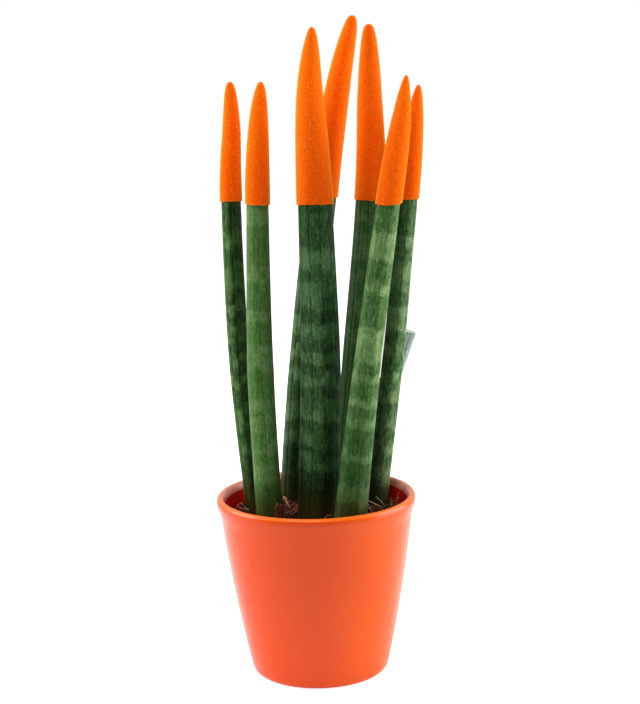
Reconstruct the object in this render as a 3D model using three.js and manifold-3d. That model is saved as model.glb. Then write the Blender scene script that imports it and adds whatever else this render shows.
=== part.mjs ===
// A cylindrical snake plant in a tapered glazed pot. Seven round, furrowed leaves wear a coat of
// velvet flock over their tips, and an eighth leaf has been cut short. Millimetres, +Z up.
// The origin is the middle of the pot's underside, and -Y is the front.
import * as THREE from 'three';
import { mergeVertices } from 'three/addons/utils/BufferGeometryUtils.js';
import Module from 'manifold-3d';

const wasm = await Module();
wasm.setup();

// ---------------------------------------------------------------- driving dimensions

const CLEARANCE = 0.3; // between pieces that touch

// the pot, from the floor up
const POT = {
  height: 128,
  rimRadius: 70, // widest, on the outside of the rolled rim
  rimHeight: 123.5, // height of that widest circle
  crestRadius: 67.2, // top of the rolled rim
  lipRadius: 64.7, // inside of the rolled rim
  lipDepth: 3, // from the crest down to where the inside runs straight
  neckRadius: 67.15, // where the rim meets the tapered wall
  neckHeight: 114,
  rimFlare: [68.75, 118.5], // radius and height that the wall bends towards under the rim
  footRadius: 47.2, // the wall carried down to the floor
  footFillet: 5.7, // round edge under the wall
  bulge: 1.7, // how far the wall stands out from a straight taper at half height
  wall: 4.8,
  floor: 6,
  sides: 56,
  arcSteps: 3, // straight lines in each round stretch of the outline
};

// the soil and the coir fibres in it
const SOIL = {
  level: 114,
  relief: 0.8, // height of the lumps
  edgeDip: 2.2, // how far the surface falls next to the pot
  rings: 6,
  sides: 40,
};

const STRANDS = {
  scattered: 14,
  tufts: [
    { centre: [-21, 8], reach: 9, count: 5, rise: 6 },
    { centre: [50, -2], reach: 7, count: 3, rise: 5 },
  ],
  scatteredRise: 3,
  radius: 0.7,
  length: [9, 17], // shortest and longest
  bow: 2.5, // furthest that the middle strays sideways
  sink: 2.2, // depth of both ends below the surface
  leafClearance: 2.4,
  wallClearance: 2,
  sides: 4,
  steps: 5,
  tries: 400,
  seed: 11,
};

// the leaves: places of the middle line [x, y] at five heights
const LEAF = {
  buried: 30, // length below the soil surface
  waistHeight: 220,
  cuffHeight: 333, // lower edge of the velvet
  shoulder: 0.62, // share of the way from the cuff to the apex
  buriedTaper: 0.92, // radius of the cut lower end, as a share of the radius at the soil
  furrowWidth: 0.36, // share of the distance from one furrow to the next
};

// Radii are at the soil, the waist and the cuff. From the cuff to the apex the radius falls as
// (1 - t^a)^b, and taper holds a and b. Depth is that of the furrows, and turn is the angle of the
// first one, in degrees from +X towards +Y. Edge is how far the velvet's lower edge lies above the
// cuff, and its slopes towards +X and +Y.
const LEAVES = [
  {
    name: 'leaf_1', furrows: 8, turn: 0, depth: 0.4,
    radii: [7.9, 7.5, 6.95], taper: [1.4, 0.39], edge: [-0.5, 0, -0.08],
    root: [-42.8, 19], waist: [-51.4, 22], cuff: [-53.4, 25], shoulder: [-51.4, 26],
    apex: [-51.3, 26, 413.7],
  },
  {
    name: 'leaf_2', furrows: 8, turn: 5, depth: 0.25,
    radii: [9.3, 9.2, 7.6], taper: [2, 0.51], edge: [0.6, -0.06, -0.02],
    root: [-32.3, -21], waist: [-35.5, -16], cuff: [-33.9, -12], shoulder: [-31.8, -9],
    apex: [-29.2, -8, 414.4],
  },
  {
    name: 'leaf_3', furrows: 10, turn: 31, depth: 0.6,
    radii: [15, 13.9, 11.5], taper: [1.54, 0.55], edge: [0.8, 0, -0.08],
    root: [1.8, -14], waist: [5.6, -18], cuff: [4.9, -24], shoulder: [3.5, -27],
    apex: [6, -28, 449.7],
  },
  {
    name: 'leaf_4', furrows: 10, turn: 10, depth: 0.6,
    radii: [12.2, 11.1, 10.3], taper: [1.12, 0.37], edge: [-0.3, 0, -0.05],
    root: [-14.5, 36], waist: [-5, 34], cuff: [9.8, 32], shoulder: [23.1, 31],
    apex: [34.2, 30, 456.4],
  },
  {
    name: 'leaf_5', furrows: 12, turn: 22, depth: 0.5,
    radii: [11.6, 10.6, 10.1], taper: [1.01, 0.35], edge: [0.4, -0.03, -0.03],
    root: [20.9, 18], waist: [31.5, 12], cuff: [42.7, 2], shoulder: [43.8, 0],
    apex: [44.2, -1, 450.4],
  },
  {
    name: 'leaf_6', furrows: 9, turn: 38, depth: 0.3,
    radii: [11.4, 9.4, 7.9], taper: [2.24, 0.74], edge: [1.2, 0, 0.05],
    root: [22.5, -37], waist: [36.4, -36], cuff: [53.6, -34], shoulder: [62.7, -31],
    apex: [67.3, -30, 417],
  },
  {
    name: 'leaf_7', furrows: 8, turn: 0, depth: 0.5,
    radii: [8.1, 7.5, 6.7], taper: [2.37, 0.65], edge: [0.4, 0, -0.04],
    root: [42.3, 20], waist: [56.2, 10], cuff: [68.1, -3], shoulder: [73.2, -6],
    apex: [76.5, -8, 409.7],
  },
];

// the leaf that was cut off square, with no velvet
const STUB = {
  name: 'leaf_8', furrows: 8, turn: 20, depth: 0.55,
  rootRadius: 7.4,
  topRadius: 7,
  root: [23.7, 44],
  top: [68.2, 45, 234.3],
};

// the velvet over each tip
const COAT = { gap: 0.25, thickness: 0.7 };

// Stops are places along a leaf's middle line, counted in waypoints; the shoulder is stop 4.
const BURIED = 0;
const SURFACE = 1;
const WAIST = 2;
const CUFF = 3;
const APEX = 5;
const STEM_STOPS = [BURIED, SURFACE, 1.5, WAIST, 2.5, CUFF];
const TIP_STOPS = [3.4, 3.8, 4.25, 4.6, 4.85, 4.97];
const ABOVE_SOIL = 1.3;

// ---------------------------------------------------------------- materials

function finish(colour, roughness) {
  return new THREE.MeshStandardMaterial({ color: colour, roughness, metalness: 0 });
}

const MATERIALS = {
  pot: finish('#e8603a', 0.3),
  soil: finish('#3a2419', 0.95),
  leaf: finish('#3d5f3a', 0.55),
  paleLeaf: finish('#56804c', 0.55),
  velvet: finish('#ff6f0f', 0.95),
};
const PALE_LEAVES = ['leaf_2', 'leaf_6', 'leaf_8'];

// ---------------------------------------------------------------- solids from rings of points

// A closed body through rings with the same number of points, anticlockwise as seen from the last
// ring. A fan round the point `start` closes the first ring, and one round `end` the last.
function loft(rings, start, end) {
  const sides = rings[0].length;
  const points = [...rings.flat(), start, end];
  const startIndex = points.length - 2;
  const endIndex = points.length - 1;
  const lastRing = (rings.length - 1) * sides;
  const triangles = [];
  for (let side = 0; side < sides; side++) {
    const next = (side + 1) % sides;
    triangles.push(startIndex, next, side);
    for (let ring = 0; ring < rings.length - 1; ring++) {
      const low = ring * sides;
      const high = low + sides;
      triangles.push(low + side, low + next, high + next);
      triangles.push(low + side, high + next, high + side);
    }
    triangles.push(endIndex, lastRing + side, lastRing + next);
  }
  const geometry = new THREE.BufferGeometry();
  geometry.setAttribute('position', new THREE.Float32BufferAttribute(points.flatMap((p) => p.toArray()), 3));
  geometry.setIndex(triangles);
  return geometry;
}

function toManifold(geometry) {
  const bare = geometry.clone();
  bare.deleteAttribute('normal');
  bare.deleteAttribute('uv');
  const merged = mergeVertices(bare, 1e-4);
  return new wasm.Manifold(new wasm.Mesh({
    numProp: 3,
    vertProperties: Float32Array.from(merged.attributes.position.array),
    triVerts: Uint32Array.from(merged.index.array),
  }));
}

function fromManifold(solid) {
  const mesh = solid.getMesh();
  const geometry = new THREE.BufferGeometry();
  geometry.setAttribute('position', new THREE.Float32BufferAttribute(mesh.vertProperties, 3));
  geometry.setIndex(Array.from(mesh.triVerts));
  return geometry;
}

// ---------------------------------------------------------------- leaves

// The middle line of a leaf with velvet, and its radius at any place along it.
function leafLine(leaf) {
  const apex = new THREE.Vector3(...leaf.apex);
  const shoulderHeight = THREE.MathUtils.lerp(LEAF.cuffHeight, apex.z, LEAF.shoulder);
  const root = new THREE.Vector3(...leaf.root, SOIL.level);
  const waist = new THREE.Vector3(...leaf.waist, LEAF.waistHeight);
  const slope = LEAF.buried / (LEAF.waistHeight - SOIL.level);
  const buried = root.clone().lerp(waist, -slope);
  const cuff = new THREE.Vector3(...leaf.cuff, LEAF.cuffHeight);
  const shoulder = new THREE.Vector3(...leaf.shoulder, shoulderHeight);
  const waypoints = [buried, root, waist, cuff, shoulder, apex];
  const curve = new THREE.CatmullRomCurve3(waypoints, false, 'catmullrom', 0.5);

  const at = (stop) => curve.getPoint(stop / APEX);
  const along = (stop) => curve.getTangent(stop / APEX);
  function radius(stop) {
    const height = at(stop).z;
    const [rootRadius, waistRadius, cuffRadius] = leaf.radii;
    if (height <= SOIL.level) {
      const depth = (SOIL.level - height) / LEAF.buried;
      return rootRadius * THREE.MathUtils.lerp(1, LEAF.buriedTaper, depth);
    }
    if (height <= LEAF.waistHeight) {
      return THREE.MathUtils.mapLinear(height, SOIL.level, LEAF.waistHeight, rootRadius, waistRadius);
    }
    if (height <= LEAF.cuffHeight) {
      return THREE.MathUtils.mapLinear(height, LEAF.waistHeight, LEAF.cuffHeight, waistRadius, cuffRadius);
    }
    const rise = (height - LEAF.cuffHeight) / (apex.z - LEAF.cuffHeight);
    const [a, b] = leaf.taper;
    return cuffRadius * Math.max(0, 1 - rise ** a) ** b;
  }
  return { at, along, radius };
}

// The straight middle line of the cut leaf, with the same calls. It ends at stop 2.
function stubLine() {
  const root = new THREE.Vector3(...STUB.root, SOIL.level);
  const top = new THREE.Vector3(...STUB.top);
  const direction = top.clone().sub(root).normalize();
  const buried = root.clone().addScaledVector(direction, -LEAF.buried);
  const at = (stop) => (
    stop < SURFACE ? buried.clone().lerp(root, stop) : root.clone().lerp(top, stop - SURFACE));
  const along = () => direction.clone();
  const radius = (stop) => (
    THREE.MathUtils.lerp(STUB.rootRadius, STUB.topRadius, Math.max(0, stop - SURFACE)));
  return { at, along, radius };
}

// One ring square to the middle line. Each furrow takes three of its points: the bottom of the
// furrow, and the shoulder of the rib on either side of it.
function ring(leaf, centre, direction, radius, depth) {
  const across = new THREE.Vector3(1, 0, 0).projectOnPlane(direction).normalize();
  const forward = direction.clone().cross(across);
  const points = [];
  const turn = THREE.MathUtils.degToRad(leaf.turn);
  for (let furrow = 0; furrow < leaf.furrows; furrow++) {
    for (const place of [-1, 0, 1]) {
      const share = (furrow + (place * LEAF.furrowWidth) / 2) / leaf.furrows;
      const angle = turn + share * Math.PI * 2;
      const reach = place === 0 ? radius - depth : radius;
      points.push(centre.clone()
        .addScaledVector(across, Math.cos(angle) * reach)
        .addScaledVector(forward, Math.sin(angle) * reach));
    }
  }
  return points;
}

// Rings round the bare tip, moved out square to its surface by `grow`.
function tipRings(leaf, line, stops, grow) {
  const step = 0.01;
  return stops.map((stop) => {
    const centre = line.at(stop);
    const direction = line.along(stop);
    const radius = line.radius(stop);
    const length = centre.distanceTo(line.at(stop - step));
    const narrowing = line.radius(stop - step) - radius;
    const slant = Math.hypot(length, narrowing);
    centre.addScaledVector(direction, (grow * narrowing) / slant);
    return ring(leaf, centre, direction, radius + (grow * length) / slant, 0);
  });
}

function apexPoint(line, grow) {
  return line.at(APEX).addScaledVector(line.along(APEX), grow);
}

function leafGeometry(leaf) {
  const line = leafLine(leaf);
  const stem = STEM_STOPS.map((stop) => (
    ring(leaf, line.at(stop), line.along(stop), line.radius(stop), leaf.depth)));
  return loft([...stem, ...tipRings(leaf, line, TIP_STOPS, 0)], line.at(BURIED), line.at(APEX));
}

// The velvet is a thin cap: its inner face runs down from the apex and its outer face back up.
function velvetGeometry(leaf) {
  const line = leafLine(leaf);
  const outside = COAT.gap + COAT.thickness;
  const cuff = line.at(CUFF);
  const direction = line.along(CUFF);
  const [lift, slopeX, slopeY] = leaf.edge;
  // the edge was dipped level, so each of its points slides along the leaf to that height
  const cuffRing = (grow) => (
    ring(leaf, cuff, direction, line.radius(CUFF) + grow, 0).map((point) => {
      const aside = slopeX * (point.x - cuff.x) + slopeY * (point.y - cuff.y);
      const rise = LEAF.cuffHeight + lift + aside - point.z;
      return point.addScaledVector(direction, rise / direction.z);
    }));
  const inner = tipRings(leaf, line, TIP_STOPS, COAT.gap).reverse();
  const outer = tipRings(leaf, line, TIP_STOPS, outside);
  const rings = [...inner, cuffRing(COAT.gap), cuffRing(outside), ...outer];
  return loft(rings, apexPoint(line, COAT.gap), apexPoint(line, outside));
}

function stubGeometry() {
  const line = stubLine();
  const rings = [BURIED, SURFACE, WAIST].map((stop) => (
    ring(STUB, line.at(stop), line.along(stop), line.radius(stop), STUB.depth)));
  return loft(rings, line.at(BURIED), line.at(WAIST));
}

// The plain hole that a leaf stands in, from just under its cut end to above the soil.
function holeGeometry(leaf, line) {
  const wide = (stop) => (
    ring(leaf, line.at(stop), line.along(stop), line.radius(stop) + CLEARANCE, 0));
  const lower = (point) => point.addScaledVector(line.along(BURIED), -CLEARANCE);
  const rings = [wide(BURIED).map(lower), wide(SURFACE), wide(ABOVE_SOIL)];
  return loft(rings, lower(line.at(BURIED)), line.at(ABOVE_SOIL));
}

// ---------------------------------------------------------------- pot

function taperRadius(height) {
  return THREE.MathUtils.mapLinear(height, 0, POT.neckHeight, POT.footRadius, POT.neckRadius);
}

function potOuterRadius(height) {
  const share = height / POT.neckHeight;
  return taperRadius(height) + POT.bulge * 4 * share * (1 - share);
}

function potInnerRadius(height) {
  return taperRadius(height) - POT.wall;
}

function potGeometry() {
  const lowerThird = POT.neckHeight / 3;
  const outline = new THREE.Path();
  outline.moveTo(0, 0);
  outline.lineTo(POT.footRadius - POT.footFillet, 0);
  outline.quadraticCurveTo(POT.footRadius, 0, potOuterRadius(POT.footFillet), POT.footFillet);
  outline.lineTo(potOuterRadius(lowerThird), lowerThird);
  outline.lineTo(potOuterRadius(2 * lowerThird), 2 * lowerThird);
  outline.lineTo(POT.neckRadius, POT.neckHeight);
  outline.quadraticCurveTo(...POT.rimFlare, POT.rimRadius, POT.rimHeight);
  outline.quadraticCurveTo(POT.rimRadius, POT.height, POT.crestRadius, POT.height);
  outline.quadraticCurveTo(POT.lipRadius, POT.height, POT.lipRadius, POT.height - POT.lipDepth);
  outline.lineTo(potInnerRadius(POT.neckHeight), POT.neckHeight);
  outline.lineTo(potInnerRadius(POT.floor), POT.floor);
  outline.lineTo(0, POT.floor);
  return new THREE.LatheGeometry(outline.getPoints(POT.arcSteps), POT.sides).rotateX(Math.PI / 2);
}

// ---------------------------------------------------------------- soil

function soilHeight(x, y) {
  const share = Math.hypot(x, y) / potInnerRadius(SOIL.level);
  const lumps = Math.sin(x * 0.21 + 1) * Math.cos(y * 0.17) + 0.6 * Math.sin(x * 0.43 + y * 0.37);
  return SOIL.level + SOIL.relief * lumps - SOIL.edgeDip * share ** 6;
}

// The block of soil, before its holes are cut.
function plugGeometry() {
  const base = POT.floor + CLEARANCE;
  const circle = (radius, height) => {
    const points = [];
    for (let side = 0; side < SOIL.sides; side++) {
      const angle = (side / SOIL.sides) * Math.PI * 2;
      const x = Math.cos(angle) * radius;
      const y = Math.sin(angle) * radius;
      points.push(new THREE.Vector3(x, y, height ?? soilHeight(x, y)));
    }
    return points;
  };
  // the middle of each of the pot's flats lies inside its true circle by this share
  const flat = Math.cos(Math.PI / POT.sides);
  const wallAt = (height) => potInnerRadius(height) * flat - CLEARANCE;
  const shoulder = SOIL.level - 2 * SOIL.edgeDip;
  const edge = wallAt(shoulder);
  const rings = [circle(wallAt(base), base), circle(edge, shoulder)];
  for (let index = SOIL.rings; index > 0; index--) {
    rings.push(circle((edge * index) / SOIL.rings));
  }
  return loft(rings, new THREE.Vector3(0, 0, base), new THREE.Vector3(0, 0, soilHeight(0, 0)));
}

// mulberry32, so that the strands lie the same on each run
function seededRandom(seed) {
  let state = seed;
  return () => {
    state = (state + 0x6d2b79f5) | 0;
    let mixed = Math.imul(state ^ (state >>> 15), 1 | state);
    mixed = (mixed + Math.imul(mixed ^ (mixed >>> 7), 61 | mixed)) ^ mixed;
    return ((mixed ^ (mixed >>> 14)) >>> 0) / 4294967296;
  };
}

// A fibre that arches over the soil from one sunk end to the other.
function strandCurve(x, y, heading, length, rise, bow) {
  const along = new THREE.Vector2(Math.cos(heading), Math.sin(heading));
  const side = new THREE.Vector2(-along.y, along.x);
  const points = [-0.5, -0.25, 0, 0.25, 0.5].map((share) => {
    const lift = 1 - (2 * share) ** 2;
    const px = x + along.x * share * length + side.x * bow * lift;
    const py = y + along.y * share * length + side.y * bow * lift;
    return new THREE.Vector3(px, py, soilHeight(px, py) - STRANDS.sink + (STRANDS.sink + rise) * lift);
  });
  return new THREE.CatmullRomCurve3(points);
}

function strandIsClear(curve, lines) {
  const wall = potInnerRadius(SOIL.level) - STRANDS.wallClearance;
  return curve.getPoints(2 * STRANDS.steps).every((point) => {
    const clearOfLeaves = lines.every((line) => {
      const root = line.at(SURFACE);
      const away = Math.hypot(point.x - root.x, point.y - root.y);
      return away > line.radius(SURFACE) + STRANDS.leafClearance;
    });
    return clearOfLeaves && Math.hypot(point.x, point.y) < wall;
  });
}

function strandGeometry(curve) {
  const corners = [];
  for (let side = 0; side < STRANDS.sides; side++) {
    const angle = (side / STRANDS.sides) * Math.PI * 2;
    corners.push(new THREE.Vector2(Math.cos(angle), Math.sin(angle)).multiplyScalar(STRANDS.radius));
  }
  const section = new THREE.Shape(corners);
  const options = { steps: STRANDS.steps, bevelEnabled: false, extrudePath: curve };
  return new THREE.ExtrudeGeometry(section, options);
}

function strandCurves(lines) {
  const random = seededRandom(STRANDS.seed);
  const scattered = {
    centre: [0, 0],
    reach: potInnerRadius(SOIL.level) - STRANDS.wallClearance,
    count: STRANDS.scattered,
    rise: STRANDS.scatteredRise,
  };
  const curves = [];
  for (const patch of [...STRANDS.tufts, scattered]) {
    let left = patch.count;
    for (let tries = 0; left > 0 && tries < STRANDS.tries; tries++) {
      const angle = random() * Math.PI * 2;
      const away = Math.sqrt(random()) * patch.reach;
      const x = patch.centre[0] + Math.cos(angle) * away;
      const y = patch.centre[1] + Math.sin(angle) * away;
      const heading = random() * Math.PI;
      const length = THREE.MathUtils.lerp(...STRANDS.length, random());
      const rise = patch.rise * THREE.MathUtils.lerp(0.5, 1, random());
      const bow = STRANDS.bow * THREE.MathUtils.lerp(-1, 1, random());
      const curve = strandCurve(x, y, heading, length, rise, bow);
      if (strandIsClear(curve, lines)) {
        curves.push(curve);
        left -= 1;
      }
    }
  }
  return curves;
}

function soilGeometry() {
  const stands = LEAVES.map((leaf) => ({ leaf, line: leafLine(leaf) }));
  stands.push({ leaf: STUB, line: stubLine() });
  let solid = toManifold(plugGeometry());
  for (const { leaf, line } of stands) {
    solid = solid.subtract(toManifold(holeGeometry(leaf, line)));
  }
  for (const curve of strandCurves(stands.map(({ line }) => line))) {
    solid = solid.add(toManifold(strandGeometry(curve)));
  }
  return fromManifold(solid);
}

// ---------------------------------------------------------------- the object

const plant = new THREE.Group();

function addMesh(name, geometry, material) {
  const mesh = new THREE.Mesh(geometry, material);
  mesh.name = name;
  plant.add(mesh);
}

addMesh('pot', potGeometry(), MATERIALS.pot);
addMesh('soil', soilGeometry(), MATERIALS.soil);
for (const leaf of LEAVES) {
  const green = PALE_LEAVES.includes(leaf.name) ? MATERIALS.paleLeaf : MATERIALS.leaf;
  addMesh(leaf.name, leafGeometry(leaf), green);
  addMesh(leaf.name.replace('leaf', 'velvet'), velvetGeometry(leaf), MATERIALS.velvet);
}
addMesh(STUB.name, stubGeometry(), MATERIALS.paleLeaf);

export default plant;
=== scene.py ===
"""A cylindrical snake plant with velvet tips in a glazed pot: its looks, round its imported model.

Lengths are millimetres until a mesh, a lamp or the camera is made. +Z is up, -Y is the front, and
the origin is the middle of the pot's underside.
"""
import itertools
import math

import bpy
import numpy as np
from mathutils import Matrix


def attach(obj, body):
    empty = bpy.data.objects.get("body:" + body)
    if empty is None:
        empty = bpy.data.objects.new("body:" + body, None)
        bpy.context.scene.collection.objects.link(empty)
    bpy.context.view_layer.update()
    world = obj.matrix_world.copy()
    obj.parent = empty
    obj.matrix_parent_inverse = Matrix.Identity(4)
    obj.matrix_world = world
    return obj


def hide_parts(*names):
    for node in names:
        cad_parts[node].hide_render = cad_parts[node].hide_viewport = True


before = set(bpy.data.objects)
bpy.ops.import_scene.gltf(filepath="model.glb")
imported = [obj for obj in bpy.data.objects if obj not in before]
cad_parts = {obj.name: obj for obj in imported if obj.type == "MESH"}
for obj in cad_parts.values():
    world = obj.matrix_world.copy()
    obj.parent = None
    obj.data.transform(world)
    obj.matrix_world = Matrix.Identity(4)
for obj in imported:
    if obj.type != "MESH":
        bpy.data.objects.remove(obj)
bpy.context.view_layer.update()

MM = 0.001
TURN = 2 * math.pi

# ---- driving dimensions, as in the CAD

POT = {
    "height": 128,
    "rim_radius": 70,
    "rim_height": 123.5,
    "crest_radius": 67.2,
    "lip_radius": 64.7,
    "neck_radius": 67.15,
    "neck_height": 114,
    "rim_flare": (68.75, 118.5),
    "foot_radius": 47.2,
    "foot_fillet": 5.7,
    "bulge": 1.7,
    "wall": 4.8,
    "floor": 6,
}
SOIL_LEVEL = 114
SOIL_RELIEF = 0.8
SOIL_EDGE_DIP = 2.2

BURIED_LENGTH = 30
BURIED_TAPER = 0.92
WAIST_HEIGHT = 220
CUFF_HEIGHT = 333
SHOULDER_SHARE = 0.62
COAT_GAP = 0.25
COAT_THICKNESS = 0.7

# Places of each leaf's middle line, its radii at the soil, the waist and the cuff, the two powers
# of its taper, and its furrows: their number, the turn of the first in degrees, and their depth.
# Edge is how far the velvet's lower edge lies above the cuff, and its slopes towards +X and +Y.
LEAVES = [
    dict(name="leaf_1", furrows=8, turn=0, depth=0.4, radii=(7.9, 7.5, 6.95), taper=(1.4, 0.39),
         edge=(-0.5, 0, -0.08), root=(-42.8, 19), waist=(-51.4, 22), cuff=(-53.4, 25),
         shoulder=(-51.4, 26), apex=(-51.3, 26, 413.7)),
    dict(name="leaf_2", furrows=8, turn=5, depth=0.25, radii=(9.3, 9.2, 7.6), taper=(2, 0.51),
         edge=(0.6, -0.06, -0.02), root=(-32.3, -21), waist=(-35.5, -16), cuff=(-33.9, -12),
         shoulder=(-31.8, -9), apex=(-29.2, -8, 414.4)),
    dict(name="leaf_3", furrows=10, turn=31, depth=0.6, radii=(15, 13.9, 11.5), taper=(1.54, 0.55),
         edge=(0.8, 0, -0.08), root=(1.8, -14), waist=(5.6, -18), cuff=(4.9, -24),
         shoulder=(3.5, -27), apex=(6, -28, 449.7)),
    dict(name="leaf_4", furrows=10, turn=10, depth=0.6, radii=(12.2, 11.1, 10.3),
         taper=(1.12, 0.37), edge=(-0.3, 0, -0.05), root=(-14.5, 36), waist=(-5, 34),
         cuff=(9.8, 32), shoulder=(23.1, 31), apex=(34.2, 30, 456.4)),
    dict(name="leaf_5", furrows=12, turn=22, depth=0.5, radii=(11.6, 10.6, 10.1),
         taper=(1.01, 0.35), edge=(0.4, -0.03, -0.03), root=(20.9, 18), waist=(31.5, 12),
         cuff=(42.7, 2), shoulder=(43.8, 0), apex=(44.2, -1, 450.4)),
    dict(name="leaf_6", furrows=9, turn=38, depth=0.3, radii=(11.4, 9.4, 7.9), taper=(2.24, 0.74),
         edge=(1.2, 0, 0.05), root=(22.5, -37), waist=(36.4, -36), cuff=(53.6, -34),
         shoulder=(62.7, -31), apex=(67.3, -30, 417)),
    dict(name="leaf_7", furrows=8, turn=0, depth=0.5, radii=(8.1, 7.5, 6.7), taper=(2.37, 0.65),
         edge=(0.4, 0, -0.04), root=(42.3, 20), waist=(56.2, 10), cuff=(68.1, -3),
         shoulder=(73.2, -6), apex=(76.5, -8, 409.7)),
]
STUB = dict(name="leaf_8", furrows=8, turn=20, depth=0.55, root_radius=7.4, top_radius=7,
            root=(23.7, 44), top=(68.2, 45, 234.3))

# ---- fineness of the meshes

SKIN_STEP = 1.7  # along a leaf where it shows
HIDDEN_STEP = 6  # along it in the soil and under the velvet
RIB_PLACES = (0, 0.035, 0.075, 0.13, 0.22, 0.35, 0.5, 0.65, 0.78, 0.87, 0.925, 0.965)
FLOCK_STEP = 0.6
POT_SIDES = 256
BED_RINGS, BED_SIDES = 64, 216

# Where the pieces' random numbers start. The first three have the leaf's number added.
SKIN_SEED, FLOCK_SEED, LUMP_SEED, CRUMB_SEED, FIBRE_SEED = 100, 200, 40, 7, 19


# ---- meshes from arrays

def make_mesh(name, points, faces, attributes=None, smooth=True):
    """A mesh from points in millimetres and arrays of faces, each (count, corners)."""
    mesh = bpy.data.meshes.new(name)
    corners = np.concatenate([f.ravel() for f in faces]).astype(np.int32)
    sizes = np.concatenate([np.full(len(f), f.shape[1]) for f in faces])
    starts = np.concatenate([[0], np.cumsum(sizes)[:-1]]).astype(np.int32)
    mesh.vertices.add(len(points))
    mesh.vertices.foreach_set("co", (np.asarray(points) * MM).astype(np.float32).ravel())
    mesh.loops.add(len(corners))
    mesh.loops.foreach_set("vertex_index", corners)
    mesh.polygons.add(len(sizes))
    mesh.polygons.foreach_set("loop_start", starts)
    mesh.update(calc_edges=True)
    mesh.polygons.foreach_set("use_smooth", np.full(len(sizes), smooth))
    for key, values in (attributes or {}).items():
        values = np.asarray(values, np.float32)
        kind, field = ("FLOAT_VECTOR", "vector") if values.ndim == 2 else ("FLOAT", "value")
        mesh.attributes.new(key, kind, "POINT").data.foreach_set(field, values.ravel())
    mesh.validate()
    return mesh


def add_object(name, data):
    made = bpy.data.objects.new(name, data)
    bpy.context.scene.collection.objects.link(made)
    return made


def add_piece(name, mesh, material, node=None):
    """One visible piece that rides on the plant, and stands for a CAD node if one is named."""
    piece = add_object(name, mesh)
    mesh.materials.append(material)
    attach(piece, "root")
    if node:
        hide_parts(node)
    return piece


def loft_faces(rings, sides):
    """Quads between rings of points, and fans to two more points: before the first ring and past
    the last, in that order after the rings."""
    low = (np.arange(rings - 1)[:, None] * sides + np.arange(sides)).ravel()
    side = np.tile(np.arange(sides), rings - 1)
    step = (side + 1) % sides - side
    quads = np.stack([low, low + step, low + step + sides, low + sides], axis=1)
    here = np.arange(sides)
    after = (here + 1) % sides
    start = np.full(sides, rings * sides)
    last = (rings - 1) * sides
    fans = np.concatenate([
        np.stack([start, after, here], axis=1),
        np.stack([start + 1, last + here, last + after], axis=1),
    ])
    return [quads, fans]


def lofted(rings, start, end):
    """Points and faces of rings (count, sides, 3) that a point at each end closes."""
    rings = np.asarray(rings)
    return np.vstack([rings.reshape(-1, 3), start, end]), loft_faces(*rings.shape[:2])


def turns(count):
    """Angles evenly spaced round a circle."""
    return np.arange(count) / count * TURN


def circle(angles):
    return np.stack([np.cos(angles), np.sin(angles)], axis=-1)


def spokes(angles, across, forward):
    """Directions out of each middle at those angles, from across towards forward. The angles are
    the same for every middle, or (middles, sides)."""
    return (np.cos(angles)[..., None] * across[:, None]
            + np.sin(angles)[..., None] * forward[:, None])


def smoothstep(values, low=0.0, high=1.0):
    share = np.clip((values - low) / (high - low), 0, 1)
    return share * share * (3 - 2 * share)


def lattice_noise(places, seed):
    """Smooth noise from -1 to 1 at places (count, 2 or 3), with features about 1 across."""
    places = np.asarray(places, float)
    base = np.floor(places).astype(np.int64)
    share = smoothstep(places - base)
    total = np.zeros(len(places))
    for corner in np.ndindex(*(2,) * places.shape[1]):
        cell = base + corner
        # a hash of the cell's numbers and the seed
        mixed = np.full(len(places), seed * 7919 + 17, np.uint64)
        for axis in range(places.shape[1]):
            mixed = (mixed ^ cell[:, axis].astype(np.uint64)) * np.uint64(0x9E3779B97F4A7C15)
            mixed ^= mixed >> np.uint64(29)
        mixed = mixed * np.uint64(0xBF58476D1CE4E5B9)
        mixed ^= mixed >> np.uint64(32)
        value = (mixed & np.uint64(0xFFFFFF)).astype(float) / 0x7FFFFF - 1
        weight = np.prod(np.where(corner, share, 1 - share), axis=1)
        total += value * weight
    return total


# ---- middle lines of the leaves

def spline(points, stops):
    """Points of the uniform Catmull-Rom curve through points, at stops counted in waypoints."""
    points = np.asarray(points, float)
    padded = np.vstack([2 * points[0] - points[1], points, 2 * points[-1] - points[-2]])
    index = np.clip(np.floor(stops).astype(int), 0, len(points) - 2)
    share = (stops - index)[:, None]
    before, start, end, after = (padded[index + k] for k in range(4))
    leave, arrive = (end - before) / 2, (after - start) / 2
    bend = -3 * start + 3 * end - 2 * leave - arrive
    twist = 2 * start - 2 * end + leave + arrive
    return start + share * (leave + share * (bend + share * twist))


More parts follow.
